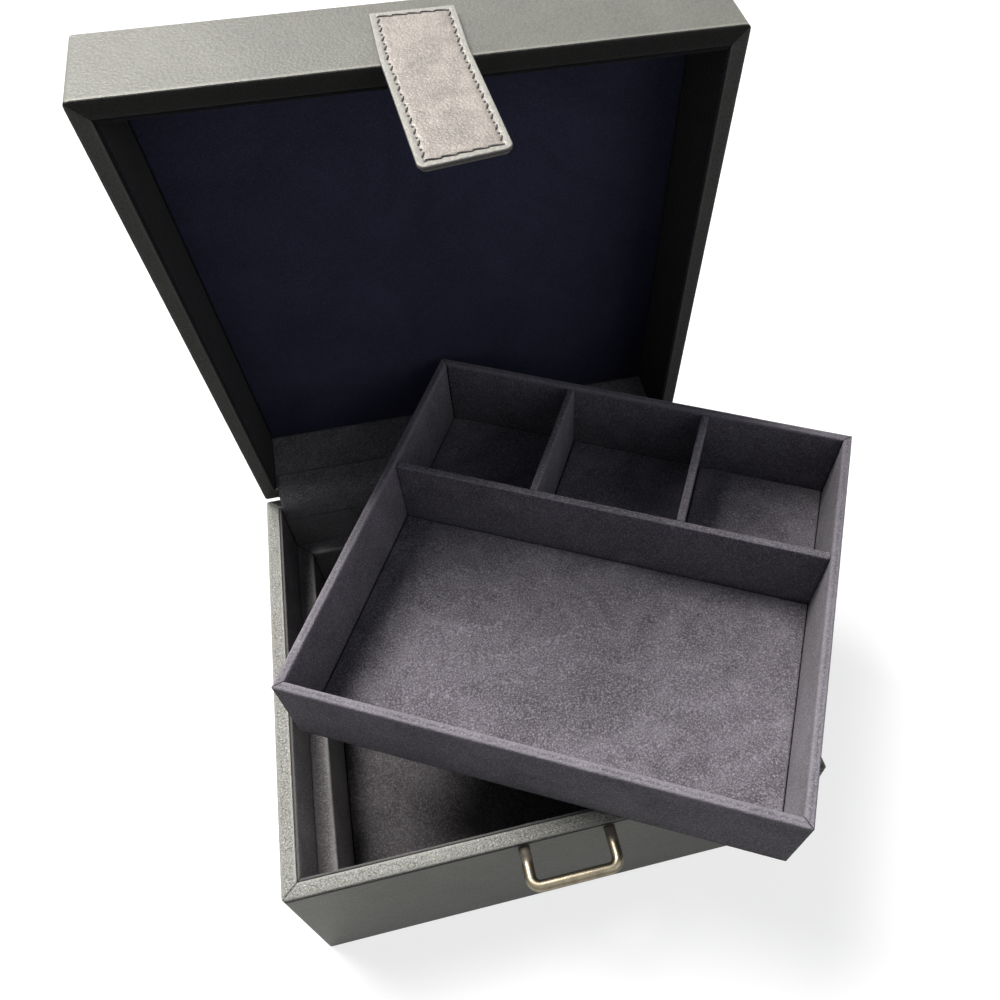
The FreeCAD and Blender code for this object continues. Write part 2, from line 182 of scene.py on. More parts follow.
class JewelleryBoxColours(bpy.types.PropertyGroup):
    """Colours of the finish"""
    leather: colour_property("Box leather", "Pewter leather of the case and the lid", (0.131, 0.131, 0.115))
    rim: colour_property("Rim leather", "Pewter leather of the case's rim", (0.190, 0.190, 0.172))
    # The lid's rims are a darker copy of the rim leather, darkened as painted shade.
    lid_rim: colour_property("Lid rim leather, painted shade", "Darker leather on the lid's rim", (0.066, 0.066, 0.062))
    strap: colour_property("Strap leather", "Pearl grey leather of the strap", (0.246, 0.220, 0.198))
    strap_edge: colour_property("Strap edge", "Paler margin outside the stitching", (0.268, 0.270, 0.245))
    backing: colour_property("Strap backing", "Leather on the underside of the strap", (0.15, 0.145, 0.135))
    thread: colour_property("Thread", "Waxed thread of the strap", (0.045, 0.042, 0.038))
    floor_suede: colour_property("Floor suede", "Dark grey lining of the case's floor", (0.106, 0.099, 0.103))
    # The wall suede is a paler copy of the floor suede; its extra lightness is painted light.
    lit_wall_suede: colour_property("Wall suede", "Paler lining of the case's walls", (0.27, 0.256, 0.256))
    # The lid's linings are darker copies of the suede, darkened as painted shade inside the open lid.
    lid_suede: colour_property("Lid suede", "Black lining of the lid's walls", (0.009, 0.009, 0.0105))
    panel_suede: colour_property("Lid panel suede", "Very dark navy panel in the lid", (0.034, 0.036, 0.065))
    tray_suede: colour_property("Tray suede", "Charcoal suede of the tray", (0.152, 0.141, 0.159))
    brass: colour_property("Brass", "Bright brass on the high spots", (0.37, 0.322, 0.230))
    patina: colour_property("Patina", "Dark patina of the old brass", (0.060, 0.052, 0.042))
    board: colour_property("Board", "Fibreboard under the coverings", (0.36, 0.27, 0.18))
    felt: colour_property("Felt", "Felt under the case", (0.022, 0.022, 0.024))


def settings(context):
    """The colours and the sizes of the finish."""
    return context.scene.jewellery_box_colours, context.scene.jewellery_box_sizes


# ---- shader helpers ------------------------------------------------------------------------------
def add_node(tree, kind, **settings):
    """New node with its settings."""
    node = tree.nodes.new(kind)
    for key, value in settings.items():
        setattr(node, key, value)
    return node


def put(value, socket):
    """Links an output to an input socket, or sets the input to a number or a colour."""
    if isinstance(value, Level):
        value = value.socket
    if isinstance(value, bpy.types.NodeSocket):
        socket.id_data.links.new(value, socket)
    elif isinstance(value, (int, float)):
        socket.default_value = value
    else:
        socket.default_value = (*value, 1.0)


def feed(node, **values):
    """Puts values into a node's sockets; an underscore stands for a space."""
    for label, value in values.items():
        put(value, node.inputs[label.replace("_", " ")])


class Level:
    """A shader output that takes part in sums; each step of a sum is one Math node."""

    def __init__(self, socket):
        self.socket = socket

    def step(self, operation, first, second):
        """One Math node on two levels or numbers."""
        node = add_node(self.socket.id_data, "ShaderNodeMath", operation=operation)
        put(first, node.inputs[0])
        put(second, node.inputs[1])
        return Level(node.outputs[0])

    def __add__(self, other):
        return self.step("ADD", self, other)

    def __sub__(self, other):
        return self.step("SUBTRACT", self, other)

    def __rsub__(self, other):
        return self.step("SUBTRACT", other, self)

    def __mul__(self, other):
        return self.step("MULTIPLY", self, other)

    def __pow__(self, other):
        return self.step("POWER", self, other)

    def at_least(self, other):
        """The greater of the two."""
        return self.step("MAXIMUM", self, other)

    def clamped(self):
        """The same level, kept between 0 and 1."""
        self.socket.node.use_clamp = True
        return self


def mix_colours(tree, factor, a, b):
    """Colour mix on sockets or colours."""
    node = add_node(tree, "ShaderNodeMix", data_type="RGBA")
    for index, value in ((0, factor), (6, a), (7, b)):
        put(value, node.inputs[index])
    return node.outputs[2]


def scaled(tree, colour, factor):
    """A colour or a vector times a number."""
    node = add_node(tree, "ShaderNodeVectorMath", operation="SCALE")
    put(colour, node.inputs[0])
    put(factor, node.inputs["Scale"])
    return node.outputs[0]


def own_place(tree):
    """The piece's own coordinates."""
    return add_node(tree, "ShaderNodeTexCoord").outputs["Object"]


def attribute(tree, name):
    """A mark that the mesh's points carry."""
    return Level(add_node(tree, "ShaderNodeAttribute", attribute_name=name).outputs["Fac"])


def noise_level(tree, scale, detail=3.0, roughness=0.55, distortion=0.0):
    """Noise in the piece's own coordinates."""
    node = add_node(tree, "ShaderNodeTexNoise")
    feed(node, Vector=own_place(tree), Scale=scale, Detail=detail, Roughness=roughness, Distortion=distortion)
    return Level(node.outputs["Fac"])


def bump(tree, height, distance, strength):
    """Relief for a shader's normal."""
    node = add_node(tree, "ShaderNodeBump")
    feed(node, Strength=strength, Distance=distance, Height=height)
    return node.outputs[0]


def new_group(name, inputs, outputs):
    """Shader node group with named sockets; gives its tree, a way to read an input, and its output node."""
    tree = bpy.data.node_groups.new(name, "ShaderNodeTree")
    for label, value in inputs.items():
        kind = "NodeSocketColor" if isinstance(value, tuple) else "NodeSocketFloat"
        tree.interface.new_socket(name=label, in_out="INPUT", socket_type=kind).default_value = value
    for label in outputs:
        kind = "NodeSocketColor" if label == "Colour" else "NodeSocketFloat"
        tree.interface.new_socket(name=label, in_out="OUTPUT", socket_type=kind)
    given = tree.nodes.new("NodeGroupInput")
    return tree, lambda label: Level(given.outputs[label]), tree.nodes.new("NodeGroupOutput")


def nap_group():
    """Suede: short fibres in speckles, and paler and darker strokes where it was brushed."""
    tree, given, made = new_group("Suede nap", {
        "Colour": (0.1, 0.1, 0.1, 1), "Fibre Scale": 1300.0, "Fleck": 0.3, "Brush Scale": 38.0, "Brush": 0.35,
    }, ("Colour", "Height"))
    fibres = noise_level(tree, given("Fibre Scale"), 1.0, 0.6)
    clumps = noise_level(tree, given("Fibre Scale") * 0.3, 2.0, 0.6)
    strokes = noise_level(tree, given("Brush Scale"), 4.0, 0.6, 1.3)
    tips = (fibres * 2.0) ** 3.0
    fleck = (tips - 1.12) * 0.42 + (clumps - 0.5) * 0.35
    change = fleck * given("Fleck") + (strokes - 0.5) * 3.0 * given("Brush")
    feed(made, Colour=scaled(tree, given("Colour"), (change + 1.0).at_least(0.12)),
         Height=fibres * 0.6 + clumps * 0.4)
    return tree


def grain_group():
    """Leather: pebbled grain, fine creases, cloudy dye and painted glints, bright flecks that stand in for
    light glinting off the grain.
    """
    tree, given, made = new_group("Leather grain", {
        "Colour": (0.2, 0.2, 0.2, 1), "Grain Scale": 900.0, "Grain": 0.35, "Cloud Scale": 28.0, "Cloud": 0.25,
        "Sparkle": 0.3, "Roughness": 0.45,
    }, ("Colour", "Roughness", "Height"))
    wander = add_node(tree, "ShaderNodeTexNoise")
    feed(wander, Scale=400.0, Vector=own_place(tree))
    moved = add_node(tree, "ShaderNodeVectorMath", operation="ADD")
    put(own_place(tree), moved.inputs[0])
    put(scaled(tree, wander.outputs["Color"], 0.0011), moved.inputs[1])
    cells = add_node(tree, "ShaderNodeTexVoronoi", feature="SMOOTH_F1")
    feed(cells, Smoothness=0.35, Vector=moved.outputs[0], Scale=given("Grain Scale"))
    pores = noise_level(tree, given("Grain Scale") * 1.7, 3.0, 0.7)
    clouds = noise_level(tree, given("Cloud Scale"), 4.0, 0.6, 0.8)
    pebble = 1.0 - Level(cells.outputs["Distance"])
    grain = pebble * 0.6 + pores * 0.7
    # Painted glints: bright flecks added to the colour stand in for light glinting off the grain.
    glints = noise_level(tree, given("Grain Scale") * 1.25, 1.0, 0.5)
    change = (grain - 0.72) * 2.2 * given("Grain") + (clouds - 0.5) * 2.4 * given("Cloud")
    change += (glints - 0.62).at_least(0.0) * 9.0 * given("Sparkle")
    feed(made, Colour=scaled(tree, given("Colour"), (change + 1.0).at_least(0.2)),
         Roughness=((given("Roughness") + 0.11) - pores * 0.22).clamped(), Height=grain)
    return tree


def wear_group():
    """Edges rubbed towards another colour and seams darkened, where the mesh carries those marks; the edge
    mark also carries painted highlights and painted sheen, and the seam mark also carries painted shade where
    parts meet, under overhangs and on the strap's sides.
    """
    tree, given, made = new_group("Edge wear and painted light", {
        "Colour": (0.2, 0.2, 0.2, 1), "Worn Colour": (0.5, 0.5, 0.5, 1), "Wear": 0.5, "Break Scale": 220.0,
    }, ("Colour", "Mask"))
    broken = noise_level(tree, given("Break Scale"), 4.0, 0.65)
    shaped = (attribute(tree, "edge") * (broken + 0.35)).clamped()
    mask = (shaped * given("Wear")).clamped()
    worn = mix_colours(tree, mask, given("Colour"), given("Worn Colour"))
    # Seam darkening: dark joints, and painted shade where the mark stands for shade.
    seam_and_shade = (attribute(tree, "seam") * SEAM_AND_SHADE_DARKNESS).clamped()
    feed(made, Colour=mix_colours(tree, seam_and_shade, worn, SEAM_AND_SHADE_COLOUR), Mask=mask)
    return tree


GROUPS = {"Suede nap": nap_group, "Leather grain": grain_group, "Edge wear and painted light": wear_group}


def place_group(tree, name, **values):
    """Put a shared group into a material with its own values; it is built the first time that it is used."""
    node = add_node(tree, "ShaderNodeGroup", node_tree=bpy.data.node_groups.get(name) or GROUPS[name]())
    feed(node, **values)
    return node.outputs


def start_material(name, **settings):
    """Material with a Principled shader whose constant sockets are set; gives material, tree and shader."""
    material = bpy.data.materials.new(name)
    material.use_nodes = True
    shader = material.node_tree.nodes["Principled BSDF"]
    feed(shader, **settings)
    return material, material.node_tree, shader


def times(colour, factor):
    """A colour times a number, at most white."""
    return [min(1.0, channel * factor) for channel in colour]


# ---- materials -----------------------------------------------------------------------------------
def suede(name, colour, fleck=0.9, brush=0.3, brush_scale=38.0):
    """Suede with a nap, brushed strokes and rubbed edges; the paler rounded edges are partly rubbing and
    partly painted sheen of the nap.
    """
    if name in bpy.data.materials:
        return bpy.data.materials[name]
    material, tree, shader = start_material(
        name, Roughness=0.95, Specular_IOR_Level=0.05, Sheen_Weight=0.1, Sheen_Roughness=0.45)
    nap = place_group(tree, "Suede nap", Colour=colour, Fibre_Scale=1400.0, Fleck=fleck,
                      Brush_Scale=brush_scale, Brush=brush)
    # The worn colour on marked edges is partly rubbing and partly painted sheen on the rounded edges.
    wear = place_group(tree, "Edge wear and painted light", Colour=nap["Colour"], Worn_Colour=times(colour, 1.6), Wear=0.6,
                       Break_Scale=700.0)
    feed(shader, Base_Color=wear["Colour"], Normal=bump(tree, nap["Height"], 0.6 * MM, 0.8))
    return material


def lit_wall_suede(colours):
    """Suede of the case's walls, shared by the gusset and the lid's back lining; paler than the floor suede
    as painted light.
    """
    return suede("Wall suede", colours.lit_wall_suede, brush=0.35)


def leather(name, colour, grain=0.35, cloud=0.2, grain_scale=900.0, roughness=0.45, metallic=0.1,
            worn=None, wear=0.6, relief=0.35, cloud_scale=28.0, painted_glint=0.2, gloss=0.3):
    """Grained leather with a metallic finish, painted glints and rubbed edges; its relief is in millimetres.
    """
    if name in bpy.data.materials:
        return bpy.data.materials[name]
    material, tree, shader = start_material(name, Metallic=metallic, Specular_IOR_Level=gloss)
    skin = place_group(tree, "Leather grain", Colour=colour, Grain_Scale=grain_scale, Grain=grain,
                       Cloud_Scale=cloud_scale, Cloud=cloud, Sparkle=painted_glint, Roughness=roughness)
    edge_marked = place_group(tree, "Edge wear and painted light", Colour=skin["Colour"], Wear=wear,
                         Worn_Colour=worn or times(colour, 1.7))
    feed(shader, Base_Color=edge_marked["Colour"], Roughness=skin["Roughness"],
         Normal=bump(tree, skin["Height"], relief * MM, 0.8))
    return material


def pewter(colours):
    """The leather of the case and the lid."""
    return leather("Pewter leather", colours.leather, grain=0.2, gloss=0.25, relief=0.18)


def old_brass(name, bright, patina, dark_share=0.4):
    """Brass with a mottled patina, dull and dark where the wire is marked: crusted with patina, and as
    painted shade where the mark stands for shade.
    """
    material, tree, shader = start_material(name, Specular_IOR_Level=0.3)
    blotches = noise_level(tree, 190.0, 5.0, 0.6, 0.4)
    scratches = noise_level(tree, 1900.0, 3.0, 0.7)
    amount = ((blotches - 0.5) * 1.1 + dark_share).clamped()
    crust_and_underside_shade = place_group(tree, "Edge wear and painted light", Colour=mix_colours(tree, amount, bright, patina),
                          Worn_Colour=patina, Wear=1.15, Break_Scale=160.0)
    crust_and_shade = Level(crust_and_underside_shade["Mask"]) * crust_and_underside_shade["Mask"]
    rough = amount * 0.2 + (scratches * 0.1 + 0.2)
    feed(shader, Base_Color=crust_and_underside_shade["Colour"], Metallic=1.0 - crust_and_shade * 0.9,
         Roughness=(rough + crust_and_shade * 0.45).clamped(), Normal=bump(tree, scratches, 0.06 * MM, 0.5))
    return material


def plain_steel():
    """Drawn steel of the hidden screws, nuts and pins."""
    material, tree, shader = start_material("Steel", Metallic=1.0)
    streaks = noise_level(tree, 1500.0, 4.0, 0.7)
    feed(shader, Base_Color=mix_colours(tree, streaks, (0.36, 0.36, 0.38), (0.62, 0.62, 0.64)),
         Roughness=streaks * 0.25 + 0.22, Normal=bump(tree, streaks, 0.04 * MM, 0.5))
    return material


def fibreboard(colour):
    """Fibreboard of the hidden walls."""
    material, tree, shader = start_material("Fibreboard", Specular_IOR_Level=0.25)
    fibres = noise_level(tree, 700.0, 6.0, 0.75, 0.5)
    feed(shader, Base_Color=mix_colours(tree, fibres, times(colour, 0.6), times(colour, 1.25)),
         Roughness=fibres * 0.2 + 0.7, Normal=bump(tree, fibres, 0.2 * MM, 0.6))
    return material


def waxed_thread(colour):
    """Waxed thread: twisted plies read as fine slanted ridges."""
    material, tree, shader = start_material("Waxed thread", Specular_IOR_Level=0.4, Roughness=0.55)
    wave = add_node(tree, "ShaderNodeTexWave", wave_type="BANDS", bands_direction="DIAGONAL")
    feed(wave, Scale=900.0, Distortion=1.5, Vector=own_place(tree))
    plies = wave.outputs["Fac"]
    feed(shader, Base_Color=mix_colours(tree, plies, times(colour, 0.55), times(colour, 1.5)),
         Normal=bump(tree, plies, 0.1 * MM, 0.7))
    return material


# ---- mesh helpers --------------------------------------------------------------------------------
def add_object(name, data):
    """New object in the scene."""
    item = bpy.data.objects.new(name, data)
    bpy.context.scene.collection.objects.link(item)
    return item


def add_mesh(name, bm, material):
    """New object from a bmesh, which is used up."""
    mesh = bpy.data.meshes.new(name)
    bm.to_mesh(mesh)
    bm.free()
    mesh.materials.append(material)
    return add_object(name, mesh)


def make_piece(name, bm, place, material, body, nodes=()):
    """Finished piece from a bmesh in its own place; rides on its body and stands for its CAD nodes."""
    bm.transform(place)
    piece = add_mesh(name, bm, material)
    for face in piece.data.polygons:
        face.use_smooth = True
    if body:
        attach(piece, body)
    if nodes:
        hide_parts(*nodes)
    return piece


def sweep(bm, geometry, steps, move=(0, 0, 0), centre=(0, 0, 0), angle=0.0):
    """Drags geometry along in equal steps, or round an upright axis; gives its last copy."""
    return bmesh.ops.spin(bm, geom=geometry, cent=centre, axis=(0, 0, 1), dvec=move, angle=angle, steps=steps,
                          use_duplicate=False)["geom_last"]


def round_edges(bm, edges, radius, segments):
    """Rounds the given edges."""
    bmesh.ops.bevel(bm, geom=edges, offset=radius, offset_type="OFFSET", affect="EDGES", segments=segments,
                    profile=0.5, material=-1, clamp_overlap=True)


def corner_arc(centre, radius, start, segments=4):
    """Points of a quarter turn in a profile, each marked as edge."""
    points = []
    for index in range(segments + 1):
        angle = start + math.pi / 2 * index / segments
        points.append((centre[0] + radius * math.cos(angle), centre[1] + radius * math.sin(angle), 1.0))
    return points


def strip_profile(thickness, z0, z1, top_round, bottom_round, spacing):
    """Cross-section of a strip: depth from its outer face, height and edge mark, anticlockwise."""
    corners = [
        corner_arc((thickness - bottom_round, z0 + bottom_round), bottom_round, -math.pi / 2),
        corner_arc((thickness - top_round, z1 - top_round), top_round, 0.0),
        corner_arc((top_round, z1 - top_round), top_round, math.pi / 2),
        corner_arc((bottom_round, z0 + bottom_round), bottom_round, math.pi),
    ]
    points = []
    for index, arc in enumerate(corners):
        points += arc
        end, start = arc[-1], corners[(index + 1) % 4][0]
        run = math.hypot(start[0] - end[0], start[1] - end[1])
        pieces = max(1, round(run / spacing))
        for step in range(1, pieces):
            share = step / pieces
            near = min(share, 1 - share) * run
            points.append((end[0] + (start[0] - end[0]) * share, end[1] + (start[1] - end[1]) * share,
                           max(0.0, 1.0 - near / (0.6 * MM))))
    return points


def stations(half, spacing, seam):
    """Where a strip's rings stand along its length, closer together at its two ends."""
    near = [half, half - 0.3 * seam, half - seam, half - 2.2 * seam]
    count = max(2, round(2 * near[-1] / spacing))
    middle = [-near[-1] + 2 * near[-1] * step / count for step in range(1, count)]
    return [-value for value in near] + middle + near[::-1]


def swept_strip(profile, places):
    """The profile swept along X through the given places, closed at both ends, with its edge marks."""
    bm = bmesh.new()
    mark = bm.verts.layers.float.new("edge")
    ring = []
    for depth, height, edge in profile:
        vertex = bm.verts.new((0.0, depth, height))
        vertex[mark] = edge
        ring.append(vertex)
    edges = [bm.edges.new((ring[i], ring[(i + 1) % len(ring)])) for i in range(len(ring))]
    sweep(bm, ring + edges, len(places) - 1, move=(1, 0, 0))
    bmesh.ops.holes_fill(bm, edges=[e for e in bm.edges if e.is_boundary], sides=0)
    for vertex in bm.verts:
        vertex.co.x = places[round(vertex.co.x)]
    bmesh.ops.recalc_face_normals(bm, faces=bm.faces)
    return bm


def uneven(bm, amount, fine=0.0011, broad=0.016):
    """Moves the surface a little in and out, in small clumps and in broad swells."""
    bm.normal_update()
    moves = [(vertex, vertex.normal * amount * (0.7 * noise.noise(vertex.co / fine)
                                                + 0.8 * noise.noise(vertex.co / broad)))
             for vertex in bm.verts]
    for vertex, move in moves:
        vertex.co += move


def frame_strip(names, side, place, round_top, round_bottom, seam, spacing, step, relief,
                corner_radius=0.0, seam_up=True, lip=0.0, edge_shade=0.0, mitre=1.2):
    """One mitred side of a rectangular frame, shaped on its CAD node; its mitres are dark joints, and its
    foot, where it meets the next surface, is darkened as painted shade.

    The nodes' names have a gap for the side. The top may be darker too, as painted shade: the lip over its
    whole width, deepest next to the face the strip lies on, and the edge shade towards its rounded outer
    edge.
    """
    low, high = local_box(names.format(side), place)
    outer = local_box(names.format("right"), place)[1].x, local_box(names.format("back"), place)[1].y
    along = 0 if side in ("front", "back") else 1
    half = outer[along]
    reach = outer[1 - along]
    thickness = high[1 - along] - low[1 - along]
    profile = strip_profile(thickness, low.z, high.z, round_top, round_bottom, spacing)
    bm = swept_strip(profile, stations(half, step, seam))
    seam_mark = bm.verts.layers.float.new("seam")
    bottom = low.z if seam_up else high.z
    for vertex in bm.verts:
        x, depth, z = vertex.co
        end = half - abs(x)
        # Painted shade: the lip darkens the top under the rim, the edge shade darkens it towards the rounded
        # outer edge, and the foot darkens where the strip meets the next surface. The mitres are dark joints.
        lip_shade_mark = lip + (1.2 - lip) * max(0.0, 1.0 - depth / LIP_SHADE_WIDTH) if lip else 0.0
        edge_marked = edge_shade * max(0.0, 1.0 - depth / EDGE_SHADE_WIDTH)
        top = max(0.0, min(1.0, (z - high.z + round_top) / (0.5 * round_top)))
        mitred, foot_shade = mitre * (1.0 - end / (1.2 * seam)), 2.0 - abs(z - bottom) / FOOT_SHADE_WIDTH
        vertex[seam_mark] = min(1.0, max(mitred, foot_shade, top * max(lip_shade_mark, edge_marked)))
        pull = 0.9 * seam * max(0.0, 1.0 - end / (2.2 * seam)) ** 1.5
        x *= (half - depth) / half
        depth = min(max(depth, pull), thickness - pull)
        z = min(max(z, low.z + pull), high.z - pull)
        y = -(reach - depth)
        if corner_radius:
            over = Vector((abs(x) - (half - corner_radius), abs(y) - (reach - corner_radius)))
            if over.x > 0 and over.y > 0 and over.length > corner_radius:
                over = over.normalized() * corner_radius
                x = math.copysign(half - corner_radius + over.x, x)
                y = -(reach - corner_radius + over.y)
        vertex.co = (x, y, z)
    uneven(bm, relief)
    turn = {"front": 0.0, "back": math.pi, "left": -math.pi / 2, "right": math.pi / 2}[side]
    bm.transform(Matrix.Rotation(turn, 4, "Z"))
    return bm


def lay_strips(names, body, finish, shape, suffix="_suede", sides=SIDES):
    """Sides of a mitred frame, each in the place of its CAD node; the shape is what frame_strip takes."""
    for side in sides:
        node = names.format(side)
        bm = frame_strip(names, side, PLACES[body], **shape)
        make_piece(node + suffix, bm, PLACES[body], finish, body, [node])


def grade(share, half, radius, border):
    """Spreads evenly spaced loops so that some of them fall into the rounded edge."""
    flat = half - radius
    if abs(share) <= 1 - border:
        return flat * share / max(1e-6, 1 - border)
    return math.copysign(flat + radius * (abs(share) - (1 - border)) / border, share)


def soft_block(low, high, radius, spacing, relief, crown=0.0, facing=1):
    """Closed block of cloth-covered board: rounded edges, a crowned face and an uneven surface."""
    size = high - low
    radius = min(radius, 0.46 * min(size))
    bm = bmesh.new()
    mark = bm.verts.layers.float.new("edge")
    bmesh.ops.create_cube(bm, size=1.0)
    borders = []
    for axis in range(3):
        along = [e for e in bm.edges
                 if abs(abs(e.verts[0].co[axis] - e.verts[1].co[axis]) - 1.0) < 1e-5]
        cuts = max(8, round(size[axis] / spacing))
        borders.append(6 / (cuts + 1))
        bmesh.ops.subdivide_edges(bm, edges=along, cuts=cuts, use_grid_fill=True)
    for vertex in bm.verts:
        point = Vector([grade(vertex.co[a] * 2, size[a] / 2, radius, borders[a]) for a in range(3)])
        inner = Vector([max(-(size[a] / 2 - radius), min(size[a] / 2 - radius, point[a])) for a in range(3)])
        out = point - inner
        if out.length > 1e-9:
            share = max(abs(out[a]) for a in range(3)) / out.length
            vertex[mark] = min(1.0, (1.0 - share) * 3.4)
            point = inner + out * share
        if crown and point.z * facing > 0:
            rise = math.cos(math.pi * point.x / size.x) * math.cos(math.pi * point.y / size.y)
            point.z -= facing * crown * (1.0 - max(0.0, rise) ** 0.35)
        vertex.co = point
    uneven(bm, relief)
    bmesh.ops.recalc_face_normals(bm, faces=bm.faces)
    bm.transform(Matrix.Translation((low + high) / 2))
    return bm


def lay_pad(context, name, node, spacing, finish, body, corners=None, facing=1):
    """A crowned suede pad in the place of its CAD node, or between two corners of it."""
    _, sizes = settings(context)
    place = PLACES[body]
    bm = soft_block(*(corners or local_box(node, place)), sizes.pad_round, spacing, sizes.nap_relief,
                    sizes.pad_crown, facing)
    pad = make_piece(name, bm, place, finish, body, [node])


def dress_nodes(names, material):
    """CAD nodes that keep their shape get their finished material."""
    for name in names:
        mesh = frame["nodes"][name].data
        if not mesh.materials:
            mesh.materials.append(material)
        for index in range(len(mesh.materials)):
            mesh.materials[index] = material


def edged_skin(node, place, half, rim_z, radius, painted_rim_mark):
    """Leather skin copied from its CAD node: rounded at the rim and worn at its upright corners; a band at
    the rim is painted, the seam mark as painted shade under the case's rim and the edge mark as a painted
    highlight along the lid's rim.

    A rim that is marked as a seam also gets a groove all round.
    """
    bm = bmesh.new()
    bm.from_mesh(frame["nodes"][node].data)
    bmesh.ops.remove_doubles(bm, verts=bm.verts, dist=0.002 * MM)
    bm.transform(place.inverted())
    margin = 0.6 * MM

    def outside(vertex):
        """Whether the point lies on the outer face."""
        return abs(vertex.co.x) > half[0] - margin or abs(vertex.co.y) > half[1] - margin

    def on_corner(vertex):
        """Whether the point lies on the rounding of an upright corner."""
        return all(0.02 * MM < half[axis] - abs(vertex.co[axis]) < WORN_CORNER for axis in (0, 1))

    rim = [e for e in bm.edges
           if all(abs(v.co.z - rim_z) < 0.01 * MM and outside(v) for v in e.verts)]
    round_edges(bm, rim, radius, 2)
    inwards = math.copysign(1.0, sum(v.co.z for v in bm.verts) / len(bm.verts) - rim_z)
    for band in (1.6, 2.4, 3.2, 3.8):
        bmesh.ops.bisect_plane(bm, geom=bm.verts[:] + bm.edges[:] + bm.faces[:], dist=0.001 * MM,
                               plane_co=(0, 0, rim_z + inwards * band * radius), plane_no=(0, 0, 1))
    layers = {name: bm.verts.layers.float.new(name) for name in ("edge", "seam")}
    painted_rim_band = {"edge": 2.2, "seam": 3.4}[painted_rim_mark] * radius
    groove = {"edge": 0.0, "seam": GROOVE_WIDTH}[painted_rim_mark]
    for vertex in bm.verts:
        if not outside(vertex):
            continue
        near = abs(vertex.co.z - rim_z)
        vertex[layers["edge"]] = float(on_corner(vertex))
        # Painted rim band: shade below the case's rim, a highlight along the lid's rim.
        if near < painted_rim_band:
            vertex[layers[painted_rim_mark]] = 1.0
        if near < groove:
            pull = GROOVE_DEPTH * (1.0 - near / groove) ** 1.5
            for axis in (0, 1):
                reach = abs(vertex.co[axis])
                if reach > half[axis] - margin:
                    reach = max(reach - pull, half[axis] - GROOVE_LIMIT)
                    vertex.co[axis] = math.copysign(reach, vertex.co[axis])
    return bm


def weight_normals(piece):
    """Keeps flat areas flat next to rounded edges."""
    modifier = piece.modifiers.new("Normals", "WEIGHTED_NORMAL")
    modifier.weight = 100
    modifier.keep_sharp = True
    for edge in piece.data.edges:
        edge.use_edge_sharp = False
    bm = bmesh.new()
    bm.from_mesh(piece.data)
    for edge in bm.edges:
        edge.smooth = len(edge.link_faces) == 2 and edge.calc_face_angle(0.0) < math.radians(50)
    bm.to_mesh(piece.data)
    bm.free()


def leather_skin(context, body, place, rim_end, painted_rim_mark):
    """Dresses the walls of the case or the lid in pewter leather; its rim is at end 0 (low) or 1 (high)."""
    colours, sizes = settings(context)
    node = body + "_leather"
    box = local_box(node, place)
    bm = edged_skin(node, place, box[1].xy, box[rim_end].z, sizes.rim_round, painted_rim_mark)
    weight_normals(make_piece(body + "_skin", bm, place, pewter(colours), body, [node]))


# ---- operators: case -----------------------------------------------------------------------------
class BOX_OT_case_leather(bpy.types.Operator):
    """Dress the case's walls in pewter leather"""
    bl_idname = "jewellery_box.case_leather"
    bl_label = "Body leather"

    def execute(self, context):
        # The seam mark darkens a band under the rim as painted shade.
        leather_skin(context, "case", CASE, 1, "seam")
        return {"FINISHED"}


class BOX_OT_rims(bpy.types.Operator):
    """Lay the mitred leather strips on the rims of the case and the lid"""
    bl_idname = "jewellery_box.rims"
    bl_label = "Rims"

    def execute(self, context):
        colours, sizes = settings(context)
        case_finish = leather("Rim leather", colours.rim, grain=0.95, grain_scale=1350.0, roughness=0.42,
                              painted_glint=1.2, gloss=0.4)
        # The lid's rims take darker copies of the rim leather as painted shade, the front rim the darkest.
        shaded_lid_finish = leather("Lid rim leather, painted shade", colours.lid_rim, grain=0.35, grain_scale=1350.0,
                             roughness=0.55, metallic=0.0, gloss=0.12)
        shaded_finish = leather("Lid front rim leather, painted shade", times(colours.lid_rim, 0.3), grain=0.3,
                                grain_scale=1350.0, roughness=0.6, metallic=0.0, gloss=0.08)
        shape = {"round_top": sizes.rim_round, "round_bottom": sizes.rim_round * 0.8, "seam": sizes.seam,
                 "spacing": RIM_MESH, "step": 1.5 * MM, "relief": sizes.nap_relief * 0.5,
                 "corner_radius": 1.5 * MM, "mitre": 0.5}
        # Edge shade is painted shade along the rims' rounded outer edges, deepest on the case's front rim.
        for body, sides, finish, edge_shade in (
                ("case", SIDES[:1], case_finish, 0.7), ("case", SIDES[1:], case_finish, 0.3),
                ("lid", SIDES[:1], shaded_finish, 0.3), ("lid", SIDES[1:], shaded_lid_finish, 0.3)):
            lay_strips(body + "_{}_rim", body, finish,
                       {**shape, "edge_shade": edge_shade, "seam_up": body == "case"}, "_strip", sides)
        return {"FINISHED"}


class BOX_OT_case_lining(bpy.types.Operator):
    """Line the case with suede: walls, ledge and floor pad"""
    bl_idname = "jewellery_box.case_lining"
    bl_label = "Body lining"

    def execute(self, context):
        colours, sizes = settings(context)
        floor_finish = suede("Floor suede", colours.floor_suede, brush=0.35)
        shape = {"round_bottom": 0.2 * MM, "seam": sizes.seam, "spacing": LINING_MESH, "step": LINING_MESH,
                 "relief": sizes.nap_relief}
        # The lip is painted shade along the linings' tops under the rim.
        for names, rounding, lip in (("case_{}_lining", sizes.lining_round, 0.75),
                                     ("ledge_{}", 0.9 * MM, 0.0)):
            lay_strips(names, "case", lit_wall_suede(colours),
                       {**shape, "round_top": rounding, "lip": lip})
        lay_pad(context, "case_floor_suede", "case_floor_pad", FLOOR_PAD_MESH, floor_finish, "case")
        return {"FINISHED"}


